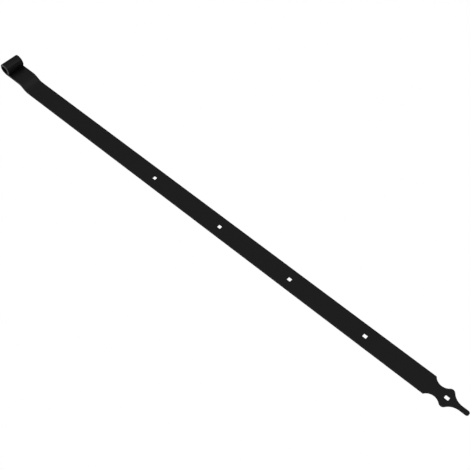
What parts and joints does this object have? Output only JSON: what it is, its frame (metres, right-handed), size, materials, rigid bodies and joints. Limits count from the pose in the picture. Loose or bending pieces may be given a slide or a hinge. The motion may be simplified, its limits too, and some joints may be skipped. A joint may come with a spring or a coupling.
{
  "type": "strap hinge leaf",
  "caption": "Long flat strap of a lift-off door hinge: an eye rolled for an upright pin, a joggle back to the door face, square bolt holes in line and an ornamental cut tip.",
  "frame": {"origin": "centre of the eye's bore, halfway along it", "axes": "+X from the eye to the tip, along the strap; +Y along the eye's bore; +Z away from the door face, so the strap lies flat at its use height under the eye's axis"},
  "size_m": [1, 0.035, 0.0307],
  "materials": {
    "black_powder_coat": "black satin powder coat with a fine even texture, over steel"
  },
  "bodies": {
    "root": {"strap_leaf": "black_powder_coat"}
  },
  "joints": []
}
